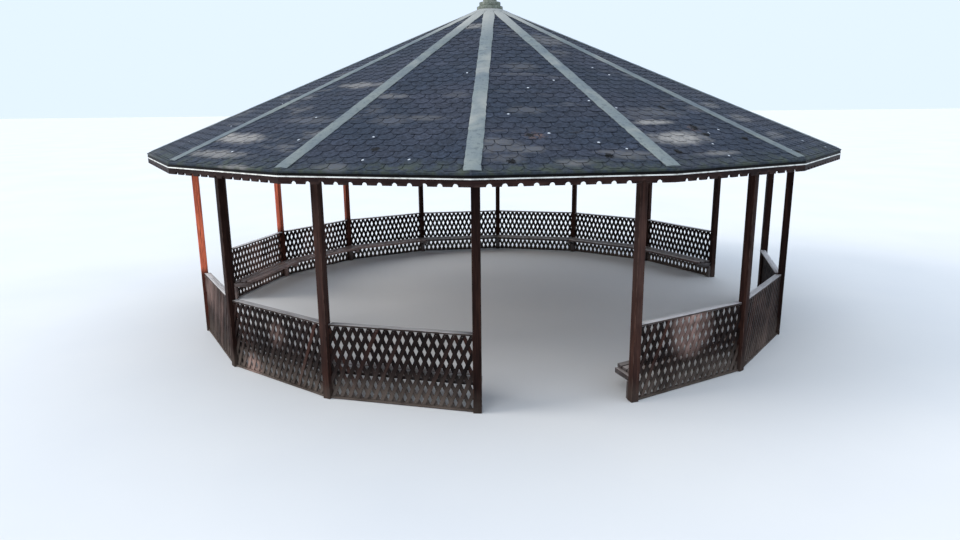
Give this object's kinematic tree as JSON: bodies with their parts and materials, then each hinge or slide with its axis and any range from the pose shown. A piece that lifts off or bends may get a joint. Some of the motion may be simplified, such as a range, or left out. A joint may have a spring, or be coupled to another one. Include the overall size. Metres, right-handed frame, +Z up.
{
  "type": "bandstand",
  "caption": "Open round timber bandstand with lattice panels and benches between posts under a low shingled pyramid roof with a finial.",
  "frame": {"origin": "centre of the ring of posts, on the ground", "axes": "+Z up, -Y out of the front entrance, +X out of the right entrance"},
  "size_m": [9.6684, 9.6684, 4.9173],
  "materials": {
    "stained_post_wood": "dark walnut stain, dusty at the foot",
    "stained_lattice_wood": "dark walnut stain, worn and dusty",
    "handrail_wood": "dark stain worn pale on top",
    "bench_wood": "dark walnut stain, worn",
    "frame_wood": "dark walnut stain",
    "deck_board_wood": "stained softwood boards",
    "fascia_wood": "dark walnut stain",
    "mossy_wood": "bare weathered wood with moss",
    "asphalt_shingle": "mineral granules, dusty patches",
    "hip_membrane": "pale mineral granules",
    "drip_metal": "bare folded sheet"
  },
  "bodies": {
    "root": {"post_01": "stained_post_wood", "post_02": "stained_post_wood", "post_03": "stained_post_wood", "post_04": "stained_post_wood", "post_05": "stained_post_wood", "post_06": "stained_post_wood", "post_07": "stained_post_wood", "post_08": "stained_post_wood", "post_09": "stained_post_wood", "post_10": "stained_post_wood", "post_11": "stained_post_wood", "post_12": "stained_post_wood", "post_13": "stained_post_wood", "post_14": "stained_post_wood", "post_15": "stained_post_wood", "post_16": "stained_post_wood", "lattice_panel_01": "stained_lattice_wood", "lattice_panel_02": "stained_lattice_wood", "lattice_panel_03": "stained_lattice_wood", "lattice_panel_04": "stained_lattice_wood", "lattice_panel_05": "stained_lattice_wood", "lattice_panel_06": "stained_lattice_wood", "lattice_panel_07": "stained_lattice_wood", "lattice_panel_08": "stained_lattice_wood", "lattice_panel_09": "stained_lattice_wood", "lattice_panel_10": "stained_lattice_wood", "lattice_panel_11": "stained_lattice_wood", "lattice_panel_12": "stained_lattice_wood", "lattice_panel_13": "stained_lattice_wood", "handrails": "handrail_wood", "bench_sides": "bench_wood", "bench_back": "bench_wood", "bench_bearers": "frame_wood", "bench_legs": "frame_wood", "ring_beams": "frame_wood", "hip_rafters": "frame_wood", "rafter_hub": "frame_wood", "purlins": "frame_wood", "roof_deck": "deck_board_wood", "shingles": "asphalt_shingle", "hip_strips": "hip_membrane", "apex_collar": "hip_membrane", "fascia_boards": "fascia_wood", "drip_strips": "drip_metal", "finial": "mossy_wood"}
  },
  "joints": []
}
